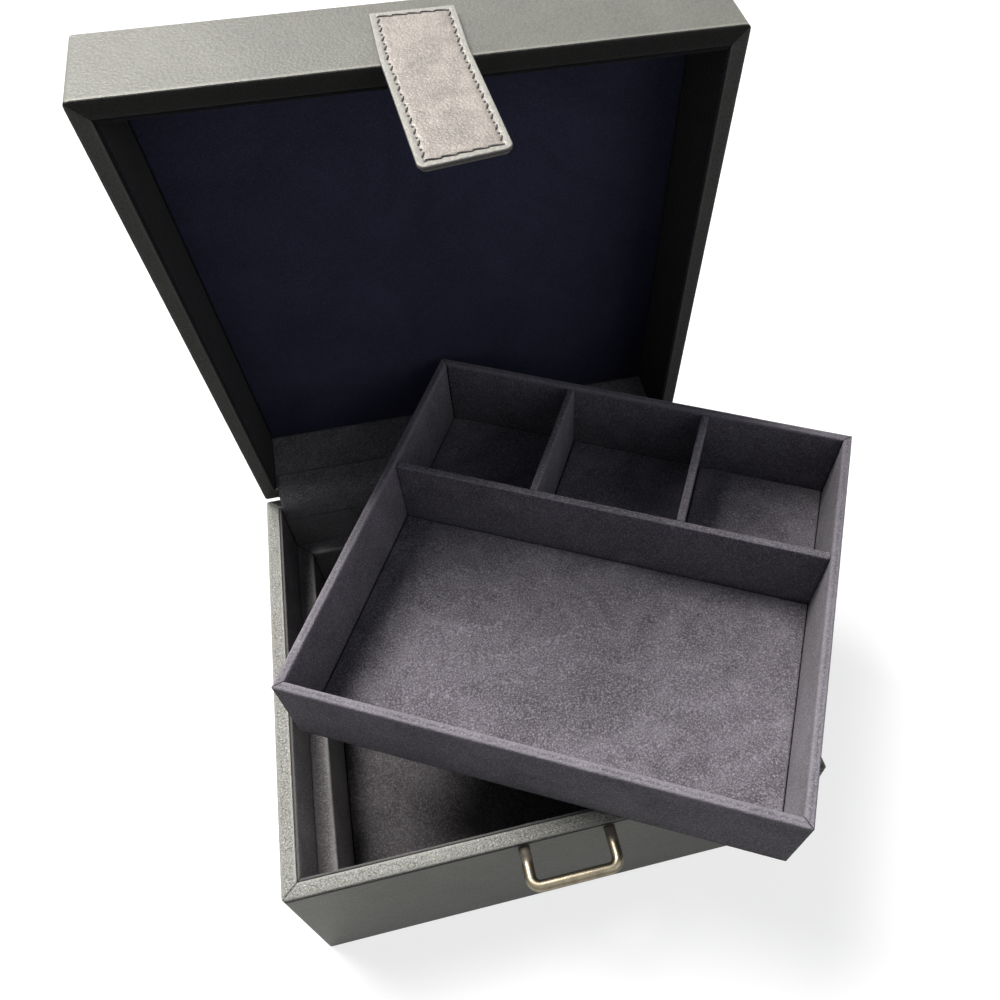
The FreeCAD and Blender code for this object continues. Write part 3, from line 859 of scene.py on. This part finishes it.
class BOX_OT_hinge_gusset(bpy.types.Operator):
    """Hang the suede gusset that covers the hinges, from the case's back lining to the lid's"""
    bl_idname = "jewellery_box.hinge_gusset"
    bl_label = "Hinge gusset"

    def execute(self, context):
        colours, sizes = settings(context)
        case_low, case_high = local_box("gusset_case_band", CASE)
        lid_low, lid_high = local_box("gusset_lid_band", LID)
        thickness = case_high.y - case_low.y
        depth = (lid_low.y + lid_high.y) / 2
        glued = Vector((0, (case_low.y + case_high.y) / 2, case_high.z))
        low_end = Vector((0, glued.y, case_low.z))
        lid_start = LID @ Vector((0, depth, lid_low.z))
        lid_end = LID @ Vector((0, depth, lid_high.z))
        along = (lid_end - lid_start).normalized()
        swell = sizes.gusset_swell
        glued_rows, fold_rows, columns = 6, 15, 120
        fold = interpolate_bezier(glued, glued + Vector((0, 0, swell)), lid_start - along * swell, lid_start,
                                  fold_rows)
        line = [low_end.lerp(glued, step / glued_rows) for step in range(glued_rows)] + fold
        line += [lid_start.lerp(lid_end, step / glued_rows) for step in range(1, glued_rows + 1)]
        bm = bmesh.new()
        row = [bm.verts.new((case_low.x, point.y, point.z)) for point in line]
        edges = [bm.edges.new(pair) for pair in zip(row, row[1:])]
        width = case_high.x - case_low.x
        sweep(bm, row + edges, columns, move=(width / columns, 0, 0))
        middle = (glued + lid_start) / 2
        for vertex in bm.verts:
            near = math.exp(-(vertex.co.yz - middle.yz).length_squared / (3.2 * MM) ** 2)
            wave = noise.noise(Vector((vertex.co.x, 0, 0)) / (17 * MM))
            vertex.co += Vector((0, -1, 1)) * 0.45 * MM * wave * near
        bmesh.ops.recalc_face_normals(bm, faces=bm.faces)
        bmesh.ops.solidify(bm, geom=list(bm.faces), thickness=thickness)
        bmesh.ops.recalc_face_normals(bm, faces=bm.faces)
        uneven(bm, sizes.nap_relief * 0.6)
        piece = make_piece("hinge_gusset", bm, CASE, lit_wall_suede(colours), None,
                           ["gusset_case_band", "gusset_lid_band"])
        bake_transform(piece)
        length = sum((b - a).length for a, b in zip(line, line[1:]))
        return {"FINISHED"}


class BOX_OT_staple(bpy.types.Operator):
    """Bend the brass staple from round wire"""
    bl_idname = "jewellery_box.staple"
    bl_label = "Staple"

    def execute(self, context):
        colours, _ = settings(context)
        low, high = local_box("staple", CASE)
        front = local_box("case_leather", CASE)[0].y
        wire = (high.z - low.z) / 2
        centre_z = (high.z + low.z) / 2
        half = high.x - wire
        reach = front - low.y - wire
        bm = bmesh.new()
        mark = bm.verts.layers.float.new("edge")
        bmesh.ops.create_circle(bm, cap_ends=True, segments=32, radius=wire,
                                matrix=Matrix.Translation((-half, front + STAPLE_SUNK, centre_z))
                                @ Matrix.Rotation(math.pi / 2, 4, "X"))
        leg = reach - STAPLE_BEND + STAPLE_SUNK
        left, right = ({"centre": (x, front - reach + STAPLE_BEND, centre_z), "angle": math.pi / 2}
                       for x in (STAPLE_BEND - half, half - STAPLE_BEND))
        leg_steps, bend_steps, bar_steps = 8, 10, 16
        last = sweep(bm, list(bm.faces), leg_steps, move=(0, -leg / leg_steps, 0))
        last = sweep(bm, last, bend_steps, **left)
        last = sweep(bm, last, bar_steps, move=((2 * half - 2 * STAPLE_BEND) / bar_steps, 0, 0))
        last = sweep(bm, last, bend_steps, **right)
        sweep(bm, last, leg_steps, move=(0, leg / leg_steps, 0))
        bmesh.ops.remove_doubles(bm, verts=bm.verts, dist=0.000005)
        # The mark crusts the leg roots with patina, and darkens and dulls the wire's underside as painted
        # shade.
        for vertex in bm.verts:
            out = front - vertex.co.y
            root = max(0.0, min(1.0, (CRUST_END - out) / (1.5 * MM)))
            underside_shade = max(0.0, (centre_z - vertex.co.z) / wire)
            vertex[mark] = max(root, 0.6 * underside_shade)
        bmesh.ops.recalc_face_normals(bm, faces=bm.faces)
        make_piece("staple_wire", bm, CASE, old_brass("Antique brass", colours.brass, colours.patina), "case",
                   ["staple"])
        return {"FINISHED"}


class BOX_OT_hidden_parts(bpy.types.Operator):
    """Finish the boards, hinges and fixings, which keep their CAD shape"""
    bl_idname = "jewellery_box.hidden_parts"
    bl_label = "Boards and fixings"

    def execute(self, context):
        colours, _ = settings(context)
        boards = [name for name in frame["nodes"] if name.endswith("_board")]
        hinges = [name for name in frame["nodes"] if name.startswith("hinge_") and "screws" not in name]
        for names, finish in (
                (boards, fibreboard(colours.board)),
                (["case_base_board", "tray_base", "lid_top_board"], suede("Base paper", PAPER_COLOUR)),
                (["case_base_sheet", "tray_base_sheet"],
                 suede("Base felt", colours.felt, fleck=0.35, brush=0.2)),
                (hinges, old_brass("Hinge brass", (0.60, 0.46, 0.22), (0.30, 0.21, 0.10), 0.3)),
                (["hinge_case_screws", "hinge_lid_screws", "staple_washers", "staple_nuts"], plain_steel())):
            dress_nodes(names, finish)
        return {"FINISHED"}


# ---- operators: lid ------------------------------------------------------------------------------
class BOX_OT_lid_leather(bpy.types.Operator):
    """Dress the lid's top and walls in pewter leather"""
    bl_idname = "jewellery_box.lid_leather"
    bl_label = "Lid leather"

    def execute(self, context):
        # The edge mark lightens a band along the rim as a painted highlight.
        leather_skin(context, "lid", LID, 0, "edge")
        return {"FINISHED"}


class BOX_OT_lid_lining(bpy.types.Operator):
    """Line the lid: front and side walls in a near-black copy of the suede and a very dark navy panel, both
    darkened as painted shade; the back wall takes the case's wall suede.
    """
    bl_idname = "jewellery_box.lid_lining"
    bl_label = "Lid lining"

    def execute(self, context):
        colours, sizes = settings(context)
        shaded_black = suede("Lid suede", colours.lid_suede, fleck=0.35, brush=0.2)
        shaded_navy = suede("Navy suede, painted shade", colours.panel_suede, fleck=0.3, brush=0.25, brush_scale=22.0)
        shape = {"round_top": 0.2 * MM, "round_bottom": sizes.lining_round, "seam": sizes.seam,
                 "spacing": LINING_MESH, "step": LINING_MESH, "relief": sizes.nap_relief, "seam_up": False}
        for sides, finish in ((SIDES[:1], shaded_black), (SIDES[1:2], lit_wall_suede(colours)), (SIDES[2:], shaded_black)):
            lay_strips("lid_{}_lining", "lid", finish, shape, sides=sides)
        lay_pad(context, "lid_panel_suede", "lid_panel", FLOOR_PAD_MESH, shaded_navy, "lid", facing=-1)
        return {"FINISHED"}


# ---- operators: strap ----------------------------------------------------------------------------
class StrapShape:
    """Sizes of the strap on the shut lid: X across, Z along, the tip below the lid's rim."""

    def __init__(self, sizes):
        anchor, backing = local_box("strap_anchor", LID), local_box("strap_backing", LID)
        self.half, self.wall, self.top = anchor[1]
        self.front, self.root = anchor[0].yz
        self.tip = local_box("strap_outer_leather", LID)[0].z
        self.seam, self.back = backing[0].y, backing[1].y
        self.inset, self.pitch = sizes.stitch_inset, sizes.stitch_pitch
        self.turn, self.skew = sizes.strap_turn, sizes.tip_skew

    def turned(self, point):
        """A point of the straight strap, moved by its skewed cut and by the way that it has crept round."""
        share = min(1.0, max(0.0, (self.root - point.z) / (2 * MM)))
        angle = self.turn * share
        longer = max(0.0, (self.root - point.z) / (self.root - self.tip)) * (0.5 - 0.5 * point.x / self.half)
        x, z = point.x, point.z - self.root - self.skew * longer
        return Vector((x * math.cos(angle) - z * math.sin(angle), point.y,
                       self.root + x * math.sin(angle) + z * math.cos(angle)))

    def holes(self):
        """Stitch holes round the strap, one list for each straight run."""
        x, top, tip = self.half - self.inset, self.top - self.inset, self.tip + self.inset
        corners = [Vector((across, 0, along)) for across, along in
                   ((-x, top), (-x, tip), (x, tip), (x, top), (-x, top))]
        runs = []
        for start, end in zip(corners, corners[1:]):
            pitch = self.pitch if start.x == end.x else 0.8 * self.pitch
            count = round((end - start).length / pitch)
            runs.append([start.lerp(end, step / count) for step in range(count + 1)])
        return runs

    def finish(self, name, bm, material, slot, nodes=()):
        """Makes a piece of the strap, which turns where it leaves the lid's rim."""
        piece = make_piece(name, bm, LID, material, None, nodes)
        start = LID @ Vector((0, self.front, self.root + 2.5 * MM))
        end = LID @ Vector((0, self.front, self.root - 3.5 * MM))
        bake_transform(piece)


def strap_layer(shape, front, back, spacing, corner, round_edge, shrink=0.0):
    """One layer of the strap as a closed slab with rounded corners at its tip."""
    half, tip, top = shape.half - shrink, shape.tip + shrink, shape.top - shrink
    bm = bmesh.new()
    columns, rows = round(2 * half / spacing), round((top - tip) / spacing)
    bmesh.ops.create_grid(bm, x_segments=columns, y_segments=rows, size=1.0)
    for vertex in bm.verts:
        x, z = vertex.co.x * half, tip + (vertex.co.y + 1) / 2 * (top - tip)
        over = Vector((abs(x) - (half - corner), (tip + corner) - z))
        reach = max(over.x, over.y)
        if over.x > 0 and over.y > 0 and over.length > 1e-9:
            over *= reach / over.length
            x, z = math.copysign(half - corner + over.x, x), tip + corner - over.y
        vertex.co = (x, front, z)
    made = bmesh.ops.extrude_face_region(bm, geom=list(bm.faces))
    behind = [item for item in made["geom"] if isinstance(item, bmesh.types.BMVert)]
    for vertex in behind:
        vertex.co.y = back
    bmesh.ops.recalc_face_normals(bm, faces=bm.faces)
    sharp = [e for e in bm.edges if e.calc_face_angle(0.0) > math.radians(60)]
    round_edges(bm, sharp, round_edge, 3)
    return bm


class BOX_OT_strap(bpy.types.Operator):
    """Cut the closing strap, with its backing and its stitching"""
    bl_idname = "jewellery_box.strap"
    bl_label = "Strap"

    def execute(self, context):
        colours, sizes = settings(context)
        shape = StrapShape(sizes)
        runs = shape.holes()
        holes = [hole for run in runs for hole in run[:-1]]
        self.outer(colours, shape, holes)
        self.backing(colours, shape)
        self.stitches(colours, sizes, shape, runs, holes)
        return {"FINISHED"}

    def outer(self, colours, shape, holes):
        """Outer leather, pressed in along the stitching, its sides darkened as painted shade."""
        bm = strap_layer(shape, shape.front, shape.seam, spacing=0.5 * MM, corner=2.5 * MM,
                         round_edge=0.55 * MM)
        mark = bm.verts.layers.float.new("edge")
        seam = bm.verts.layers.float.new("seam")
        for vertex in bm.verts:
            x, y, z = vertex.co
            outside = shape.inset + max(abs(x) - shape.half, shape.tip - z, z - shape.top)
            vertex[mark] = min(1.0, max(0.0, outside / (0.5 * MM)))
            # Painted shade: the strap's sides are darkened through the seam mark.
            vertex[seam] = min(0.8, max(0.0, (y - shape.front) / (0.6 * MM)))
            if y < shape.front + 0.05 * MM:
                groove = 0.16 * MM * math.exp(-(outside / (0.55 * MM)) ** 2)
                nearest = min((hole.x - x) ** 2 + (hole.z - z) ** 2 for hole in holes)
                dimple = 0.3 * MM * math.exp(-nearest / HOLE_RADIUS ** 2)
                swell = 0.12 * MM * noise.noise(Vector((x, 0, z)) / (9 * MM))
                vertex.co.y += groove + dimple + abs(swell)
            vertex.co = shape.turned(vertex.co)
        pearl = leather("Pearl leather", colours.strap, grain=0.22, cloud=0.45, cloud_scale=120.0,
                        grain_scale=1100.0, roughness=0.4, worn=colours.strap_edge, wear=0.8, painted_glint=0.5,
                        gloss=0.35, relief=0.22)
        shape.finish("strap_leather", bm, pearl, "strap_leather", ["strap_anchor", "strap_outer_leather"])

    def backing(self, colours, shape):
        """Backing leather, glued to the lid at the anchor."""
        bm = strap_layer(shape, shape.seam, shape.back, spacing=1.5 * MM, corner=2.0 * MM,
                         round_edge=0.2 * MM, shrink=0.7 * MM)
        for vertex in bm.verts:
            if vertex.co.z > shape.root and vertex.co.y > (shape.seam + shape.back) / 2:
                vertex.co.y = shape.wall
            vertex.co = shape.turned(vertex.co)
        matt = leather("Backing leather", colours.backing, grain=0.3, metallic=0.0, roughness=0.6,
                       painted_glint=0.0)
        shape.finish("strap_lining", bm, matt, "strap_backing", ["strap_backing"])

    def stitches(self, colours, sizes, shape, runs, holes):
        """Thread from hole to hole, each stitch a little askew, and dark discs in the holes as painted shade.
        """
        radius = sizes.thread_width / 2
        bm = bmesh.new()
        for index, run in enumerate(runs):
            reach, slant = ((0.29, 24.0), (0.44, 12.0))[index % 2]
            size = Matrix.Diagonal((shape.pitch * reach, radius, radius * 0.8, 1.0))
            for start, end in zip(run, run[1:]):
                middle = shape.turned((start + end) / 2 + Vector((0, shape.front + 0.08 * MM, 0)))
                way = shape.turned(end) - shape.turned(start)
                lean = math.radians(slant + 4.0 * noise.noise(middle * 900))
                turn = way.to_track_quat("X", "Y").to_matrix().to_4x4()
                askew = Matrix.Rotation(lean, 4, "Y")
                bmesh.ops.create_uvsphere(bm, u_segments=8, v_segments=6, radius=1.0,
                                          matrix=Matrix.Translation(middle) @ askew @ turn @ size)
        shape.finish("strap_thread", bm, waxed_thread(colours.thread), "strap_leather")
        # Painted shade: flat dark discs sit in the stitch holes.
        bm = bmesh.new()
        size = Matrix.Diagonal((HOLE_RADIUS, 0.12 * MM, HOLE_RADIUS, 1.0))
        for hole in holes:
            place = shape.turned(hole + Vector((0, shape.front + 0.26 * MM, 0)))
            bmesh.ops.create_uvsphere(bm, u_segments=8, v_segments=5, radius=1.0,
                                      matrix=Matrix.Translation(place) @ size)
        shape.finish("strap_hole_shade", bm, waxed_thread(HOLE_SHADE_COLOUR), "strap_leather")


# ---- operators: tray -----------------------------------------------------------------------------
class BOX_OT_tray_walls(bpy.types.Operator):
    """Cover the tray's walls and dividers with suede"""
    bl_idname = "jewellery_box.tray_walls"
    bl_label = "Tray walls"

    def execute(self, context):
        colours, sizes = settings(context)
        finish = suede("Tray suede", colours.tray_suede)
        lay_strips("tray_{}_wall", "tray", finish,
                   {"round_top": sizes.wall_round, "round_bottom": 0.5 * MM, "seam": sizes.seam,
                    "spacing": WALL_MESH, "step": 1.0 * MM, "relief": sizes.nap_relief,
                    "corner_radius": 0.8 * MM})
        for node in ("tray_long_divider", "tray_left_divider", "tray_right_divider"):
            bm = soft_block(*local_box(node, TRAY), sizes.wall_round, WALL_MESH, sizes.nap_relief)
            make_piece(node + "_suede", bm, TRAY, finish, "tray", [node])
        return {"FINISHED"}


class BOX_OT_tray_pads(bpy.types.Operator):
    """Lay the suede pads on the tray's floor"""
    bl_idname = "jewellery_box.tray_pads"
    bl_label = "Tray pads"

    def execute(self, context):
        colours, _ = settings(context)
        finish = suede("Tray pad suede", colours.tray_suede, fleck=1.0, brush=0.4, brush_scale=38.0)
        lay_pad(context, "tray_large_pad_suede", "tray_large_pad", TRAY_PAD_MESH, finish, "tray")
        low, high = local_box("tray_small_pads", TRAY)
        left, right = local_box("tray_left_divider", TRAY), local_box("tray_right_divider", TRAY)
        gap = low.x - local_box("tray_left_wall", TRAY)[1].x
        for cell, x0, x1 in (("left", low.x, left[0].x - gap), ("middle", left[1].x + gap, right[0].x - gap),
                             ("right", right[1].x + gap, high.x)):
            corners = Vector((x0, low.y, low.z)), Vector((x1, high.y, high.z))
            lay_pad(context, "tray_small_pad_" + cell, "tray_small_pads", TRAY_PAD_MESH, finish, "tray",
                    corners)
        return {"FINISHED"}


# ---- operators: studio ---------------------------------------------------------------------------
class BOX_OT_studio(bpy.types.Operator):
    """Set the floor, the lamps, the world and the camera"""
    bl_idname = "jewellery_box.studio"
    bl_label = "Studio"

    def execute(self, context):
        self.floor()
        self.lamps()
        self.world(context.scene)
        self.camera(context.scene)
        context.scene.view_settings.view_transform = "Standard"
        return {"FINISHED"}

    def ray_masks(self, tree):
        """Masks of the rays that see the background itself, and of those that see it in a shiny surface."""
        path = add_node(tree, "ShaderNodeLightPath").outputs
        direct = (Level(path["Is Camera Ray"]) + path["Is Transmission Ray"]).clamped()
        return direct, Level(path["Is Glossy Ray"])

    def floor(self):
        """Plain pale floor that keeps the shadow; far away it is plain white."""
        material, tree, shader = start_material("Floor", Roughness=1.0, Specular_IOR_Level=0.0,
                                                Emission_Color=WHITE)
        direct, mirrored = self.ray_masks(tree)
        away = add_node(tree, "ShaderNodeVectorMath", operation="LENGTH")
        put(own_place(tree), away.inputs[0])
        far = ((Level(away.outputs["Value"]) - 0.7) * 0.6).clamped()
        seen = mix_colours(tree, far, STUDIO_GREY, BLACK)
        across = add_node(tree, "ShaderNodeSeparateXYZ")
        put(own_place(tree), across.inputs[0])
        side = (Level(across.outputs["X"]) * -0.9 + 0.45).clamped()
        feed(shader, Base_Color=mix_colours(tree, direct, (0.30, 0.30, 0.295), seen),
             Emission_Strength=direct * (far * 0.24 + 0.76) + mirrored * side)
        bm = bmesh.new()
        bmesh.ops.create_grid(bm, x_segments=1, y_segments=1, size=FLOOR_REACH,
                              matrix=Matrix.Translation((0, 0, -FLOOR_DROP)))
        floor = add_mesh("floor", bm, material)

    def lamps(self):
        """Large soft key from above and behind, and a weak soft fill."""
        for name, place, size, power, tint in (
                ("key", (-0.70, 0.99, 2.1), 1.2, 118.0, (1.0, 0.978, 0.955)),
                ("fill", (0.75, -0.75, 0.55), 0.9, 2.6, (0.97, 0.98, 1.0))):
            light = bpy.data.lights.new(name, "AREA")
            light.shape = "SQUARE"
            light.size = size
            light.energy = power
            light.color = tint
            lamp = add_object(name, light)
            lamp.location = place
            lamp.rotation_euler = (LAMP_AIM - lamp.location).to_track_quat("-Z", "Y").to_euler()

    def world(self, scene):
        """Soft even surroundings, white where they are seen."""
        world = bpy.data.worlds.new("Studio")
        scene.world = world
        world.use_nodes = True
        tree = world.node_tree
        direct, mirrored = self.ray_masks(tree)
        way = add_node(tree, "ShaderNodeSeparateXYZ")
        put(add_node(tree, "ShaderNodeTexCoord").outputs["Generated"], way.inputs[0])
        height = (Level(way.outputs["Z"]) * 1.6).clamped()
        overhead = mix_colours(tree, height, STUDIO_GREY, WHITE)
        around = mix_colours(tree, mirrored, SKY_GREY, overhead)
        feed(tree.nodes["Background"], Color=mix_colours(tree, direct, around, WHITE))

    def camera(self, scene):
        """Camera that looks down into the open box."""
        data = bpy.data.cameras.new("camera")
        data.sensor_fit = "HORIZONTAL"
        data.sensor_width = SENSOR_WIDTH
        data.lens = CAMERA_LENS
        data.shift_x, data.shift_y = CAMERA_SHIFT
        data.clip_start = CAMERA_CLIP
        camera = add_object("camera", data)
        azimuth, elevation, roll = (math.radians(degrees) for degrees in CAMERA_ANGLES)
        camera.matrix_world = (Matrix.Translation(CAMERA_PLACE) @ Matrix.Rotation(-azimuth, 4, "Z")
                               @ Matrix.Rotation(math.pi / 2 - elevation, 4, "X")
                               @ Matrix.Rotation(roll, 4, "Z"))
        scene.camera = camera


# ---- panel and running ---------------------------------------------------------------------------
OPERATORS = (BOX_OT_studio, BOX_OT_hidden_parts, BOX_OT_case_leather, BOX_OT_rims, BOX_OT_case_lining,
             BOX_OT_hinge_gusset, BOX_OT_staple, BOX_OT_lid_leather, BOX_OT_lid_lining, BOX_OT_strap,
             BOX_OT_tray_walls, BOX_OT_tray_pads)


class BOX_PT_panel(bpy.types.Panel):
    """Lists the steps that dress the box"""
    bl_idname = "BOX_PT_panel"
    bl_label = "Jewellery Box"
    bl_space_type = "VIEW_3D"
    bl_region_type = "UI"
    bl_category = "Jewellery Box"

    def draw(self, context):
        for operator in OPERATORS:
            self.layout.operator(operator.bl_idname)
        for group in (context.scene.jewellery_box_sizes, context.scene.jewellery_box_colours):
            column = self.layout.column()
            for name in group.bl_rna.properties.keys():
                if name not in ("rna_type", "name"):
                    column.prop(group, name)


CLASSES = (JewelleryBoxSizes, JewelleryBoxColours, *OPERATORS, BOX_PT_panel)


def register():
    """Register the classes and hang the settings on the scene."""
    for item in CLASSES:
        bpy.utils.register_class(item)
    bpy.types.Scene.jewellery_box_sizes = bpy.props.PointerProperty(type=JewelleryBoxSizes)
    bpy.types.Scene.jewellery_box_colours = bpy.props.PointerProperty(type=JewelleryBoxColours)


def unregister():
    """Undo register."""
    del bpy.types.Scene.jewellery_box_sizes
    del bpy.types.Scene.jewellery_box_colours
    for item in reversed(CLASSES):
        bpy.utils.unregister_class(item)


def main():
    """Dress the whole box."""
    register()
    for operator in OPERATORS:
        group, name = operator.bl_idname.split(".")
        getattr(getattr(bpy.ops, group), name)()


if __name__ == "__main__":
    main()
